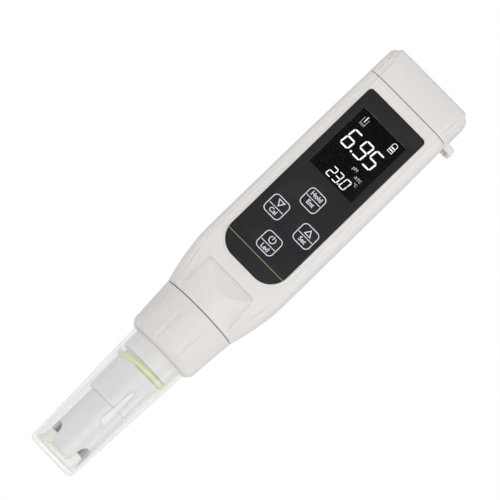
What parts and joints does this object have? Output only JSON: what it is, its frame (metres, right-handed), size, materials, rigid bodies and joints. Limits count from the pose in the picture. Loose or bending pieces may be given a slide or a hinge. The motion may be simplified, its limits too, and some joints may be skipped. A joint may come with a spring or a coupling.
{
  "type": "ph meter",
  "caption": "Pen-type pH meter with a front display and membrane keys, a pull-off battery cap, a screw collar that clamps the electrode, and a clear storage cap.",
  "frame": {"origin": "centre of the storage cap's flat foot, on the electrode axis", "axes": "+Z along the pen from the storage cap to the battery cap, -Y the way the display faces, +X to the right of someone reading the display"},
  "size_m": [0.0426, 0.035, 0.195],
  "materials": {
    "shell": "fine satin moulded ABS, warm light grey",
    "graphite_overlay": "satin printed polycarbonate film, charcoal",
    "display_window": "glossy black display window",
    "black_plastic": "matte moulded",
    "diffuser": "satin light guide",
    "rubber_seal": "matte silicone",
    "lime_seal": "satin silicone, lime green",
    "steel": "plain",
    "contact_brass": "plated contact",
    "silver": "drawn silver wire",
    "circuit_board": "green solder mask",
    "cell_sleeve": "shrink sleeve",
    "lead_insulation": "wire insulation",
    "probe_plastic": "satin moulded, light grey",
    "porous_ceramic": "porous plug",
    "electrode_glass": "clear thin glass",
    "clear_plastic": "clear moulded plastic",
    "sponge": "wet cellulose sponge"
  },
  "bodies": {
    "meter_body": {"front_shell": "shell", "rear_shell": "shell", "shell_seal_left": "rubber_seal", "shell_seal_right": "rubber_seal", "case_screw_1": "steel", "case_screw_2": "steel", "case_screw_3": "steel", "case_screw_4": "steel", "threaded_neck": "shell", "electrode_socket": "black_plastic", "socket_ribbon": "black_plastic", "fascia_overlay": "graphite_overlay", "display_window": "display_window", "lcd_panel": "display_window", "lcd_frame": "black_plastic", "backlight_panel": "diffuser", "zebra_connector_lower": "rubber_seal", "zebra_connector_upper": "rubber_seal", "main_pcb": "circuit_board", "controller_chip": "black_plastic", "dome_hold": "steel", "dome_cal": "steel", "dome_set": "steel", "dome_power": "steel", "keypad_mat": "rubber_seal", "battery_tray": "black_plastic", "battery_cell_left": "cell_sleeve", "battery_cell_right": "cell_sleeve", "battery_spring_left": "steel", "battery_spring_right": "steel", "battery_lead_left": "lead_insulation", "battery_lead_right": "lead_insulation"},
    "key_hold": {"key_hold": "graphite_overlay"},
    "key_cal": {"key_cal": "graphite_overlay"},
    "key_set": {"key_set": "graphite_overlay"},
    "key_power": {"key_power": "graphite_overlay"},
    "battery_lid": {"battery_cap": "shell", "battery_cap_seal": "rubber_seal", "contact_bridge": "contact_brass"},
    "electrode_module": {"electrode_body": "probe_plastic", "electrode_pin_1": "contact_brass", "electrode_pin_2": "contact_brass", "electrode_pin_3": "contact_brass", "electrode_pin_4": "contact_brass", "plug_o_ring": "rubber_seal", "cap_seal_ring": "lime_seal", "sensor_guard": "probe_plastic", "glass_stem": "electrode_glass", "glass_bulb": "electrode_glass", "silver_wire": "silver", "reference_junction": "porous_ceramic", "temperature_probe": "steel"},
    "collar": {"collar_nut": "shell"},
    "storage": {"storage_cap": "clear_plastic", "cap_sponge": "sponge"}
  },
  "joints": [
    {"name": "key_hold_press", "type": "slide", "parent": "meter_body", "child": "key_hold", "axis": [0, 1, 0], "range_m": [0, 0.0003], "stiffness_N_per_m": 40, "springref_m": -0.0003},
    {"name": "key_cal_press", "type": "slide", "parent": "meter_body", "child": "key_cal", "axis": [0, 1, 0], "range_m": [0, 0.0003], "stiffness_N_per_m": 40, "springref_m": -0.0003},
    {"name": "key_set_press", "type": "slide", "parent": "meter_body", "child": "key_set", "axis": [0, 1, 0], "range_m": [0, 0.0003], "stiffness_N_per_m": 40, "springref_m": -0.0003},
    {"name": "key_power_press", "type": "slide", "parent": "meter_body", "child": "key_power", "axis": [0, 1, 0], "range_m": [0, 0.0003], "stiffness_N_per_m": 40, "springref_m": -0.0003},
    {"name": "battery_cap_pull", "type": "slide", "parent": "meter_body", "child": "battery_lid", "axis": [0, 0, 1], "range_m": [0, 0.03]},
    {"name": "electrode_draw", "type": "slide", "parent": "meter_body", "child": "electrode_module", "axis": [0, 0, -1], "range_m": [0, 0.00375]},
    {"name": "collar_turn", "type": "hinge", "parent": "electrode_module", "child": "collar", "pos_m": [0, 0, 0.065], "axis": [0, 0, -1], "range_deg": [0, 900]},
    {"name": "storage_cap_pull", "type": "slide", "parent": "electrode_module", "child": "storage", "axis": [0, 0, -1], "range_m": [0, 0.06]}
  ],
  "couplings": [
    {"joint": "collar_turn", "follows": "electrode_draw", "rad_per_m": 4188.8}
  ]
}
